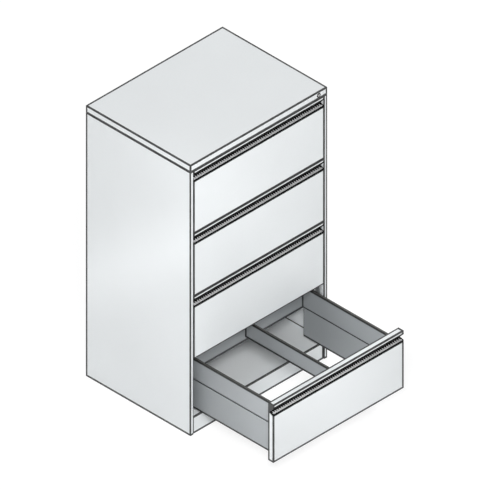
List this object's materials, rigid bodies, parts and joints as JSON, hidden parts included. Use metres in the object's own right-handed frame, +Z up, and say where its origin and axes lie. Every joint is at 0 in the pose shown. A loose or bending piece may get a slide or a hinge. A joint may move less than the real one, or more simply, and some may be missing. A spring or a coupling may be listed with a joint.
{
  "type": "filing cabinet",
  "caption": "Light grey steel filing cabinet with full-width file drawers, grip recesses, a corner lock and the bottom drawer pulled out, on a recessed plinth.",
  "frame": {"origin": "centre of the cabinet's footprint, on the floor", "axes": "+X to the right along the fronts, +Y to the back, +Z up; the drawers pull out towards -Y"},
  "size_m": [0.79, 1.065, 1.352],
  "materials": {
    "carcass_paint": "smooth satin powder coat, light grey",
    "front_paint": "smooth satin powder coat, light grey",
    "liner_paint": "satin powder coat, light grey",
    "drawer_paint": "satin powder coat, mid grey",
    "zinc_steel": "zinc-plated steel",
    "chrome": "polished chrome plate",
    "grip_plastic": "dark textured plastic",
    "cap_plastic": "dark grey moulded plastic",
    "file_strip_plastic": "near-black extruded plastic",
    "guide_plastic": "natural moulded nylon",
    "glide_plastic": "black moulded plastic"
  },
  "bodies": {
    "cabinet": {"left_side_panel": "carcass_paint", "right_side_panel": "carcass_paint", "rear_panel": "carcass_paint", "top_cover": "carcass_paint", "floor_panel": "carcass_paint", "base_frame": "carcass_paint", "slide_uprights": "zinc_steel", "left_outer_rails": "zinc_steel", "right_outer_rails": "zinc_steel", "lock_housing": "chrome", "lock_nut": "zinc_steel", "bar_guides": "guide_plastic", "levelling_glides": "glide_plastic"},
    "drawer_1": {"drawer_1_front": "front_paint", "drawer_1_front_liner": "liner_paint", "drawer_1_grip_strip": "grip_plastic", "drawer_1_lip_end_caps": "cap_plastic", "drawer_1_left_side": "drawer_paint", "drawer_1_right_side": "drawer_paint", "drawer_1_rear_wall": "drawer_paint", "drawer_1_divider": "drawer_paint", "drawer_1_file_strips": "file_strip_plastic", "drawer_1_inner_rails": "zinc_steel"},
    "middle_rails_1": {"drawer_1_middle_rails": "zinc_steel"},
    "drawer_2": {"drawer_2_front": "front_paint", "drawer_2_front_liner": "liner_paint", "drawer_2_grip_strip": "grip_plastic", "drawer_2_lip_end_caps": "cap_plastic", "drawer_2_left_side": "drawer_paint", "drawer_2_right_side": "drawer_paint", "drawer_2_rear_wall": "drawer_paint", "drawer_2_divider": "drawer_paint", "drawer_2_file_strips": "file_strip_plastic", "drawer_2_inner_rails": "zinc_steel"},
    "middle_rails_2": {"drawer_2_middle_rails": "zinc_steel"},
    "drawer_3": {"drawer_3_front": "front_paint", "drawer_3_front_liner": "liner_paint", "drawer_3_grip_strip": "grip_plastic", "drawer_3_lip_end_caps": "cap_plastic", "drawer_3_left_side": "drawer_paint", "drawer_3_right_side": "drawer_paint", "drawer_3_rear_wall": "drawer_paint", "drawer_3_divider": "drawer_paint", "drawer_3_file_strips": "file_strip_plastic", "drawer_3_inner_rails": "zinc_steel"},
    "middle_rails_3": {"drawer_3_middle_rails": "zinc_steel"},
    "drawer_4": {"drawer_4_front": "front_paint", "drawer_4_front_liner": "liner_paint", "drawer_4_grip_strip": "grip_plastic", "drawer_4_lip_end_caps": "cap_plastic", "drawer_4_left_side": "drawer_paint", "drawer_4_right_side": "drawer_paint", "drawer_4_rear_wall": "drawer_paint", "drawer_4_divider": "drawer_paint", "drawer_4_file_strips": "file_strip_plastic", "drawer_4_inner_rails": "zinc_steel"},
    "middle_rails_4": {"drawer_4_middle_rails": "zinc_steel"},
    "lock_bar": {"lock_bar": "zinc_steel"},
    "lock_core": {"lock_core": "chrome", "lock_cam": "zinc_steel"}
  },
  "joints": [
    {"name": "drawer_1_slide", "type": "slide", "parent": "cabinet", "child": "drawer_1", "axis": [0, -1, 0], "range_m": [0, 0.51]},
    {"name": "middle_rails_1_slide", "type": "slide", "parent": "cabinet", "child": "middle_rails_1", "axis": [0, -1, 0], "range_m": [0, 0.255]},
    {"name": "drawer_2_slide", "type": "slide", "parent": "cabinet", "child": "drawer_2", "axis": [0, -1, 0], "range_m": [0, 0.51]},
    {"name": "middle_rails_2_slide", "type": "slide", "parent": "cabinet", "child": "middle_rails_2", "axis": [0, -1, 0], "range_m": [0, 0.255]},
    {"name": "drawer_3_slide", "type": "slide", "parent": "cabinet", "child": "drawer_3", "axis": [0, -1, 0], "range_m": [0, 0.51]},
    {"name": "middle_rails_3_slide", "type": "slide", "parent": "cabinet", "child": "middle_rails_3", "axis": [0, -1, 0], "range_m": [0, 0.255]},
    {"name": "drawer_4_slide", "type": "slide", "parent": "cabinet", "child": "drawer_4", "axis": [0, -1, 0], "range_m": [-0.46, 0.05]},
    {"name": "middle_rails_4_slide", "type": "slide", "parent": "cabinet", "child": "middle_rails_4", "axis": [0, -1, 0], "range_m": [-0.23, 0.025]},
    {"name": "lock_bar_slide", "type": "slide", "parent": "cabinet", "child": "lock_bar", "axis": [0, 0, 1], "range_m": [0, 0.0113]},
    {"name": "lock_turn", "type": "hinge", "parent": "cabinet", "child": "lock_core", "pos_m": [0.345, -0.3025, 1.33475], "axis": [0, -1, 0], "range_deg": [0, 90]}
  ],
  "couplings": [
    {"joint": "middle_rails_1_slide", "follows": "drawer_1_slide", "ratio": 0.5},
    {"joint": "middle_rails_2_slide", "follows": "drawer_2_slide", "ratio": 0.5},
    {"joint": "middle_rails_3_slide", "follows": "drawer_3_slide", "ratio": 0.5},
    {"joint": "middle_rails_4_slide", "follows": "drawer_4_slide", "ratio": 0.5},
    {"joint": "lock_turn", "follows": "lock_bar_slide", "rad_per_m": 138.84}
  ]
}
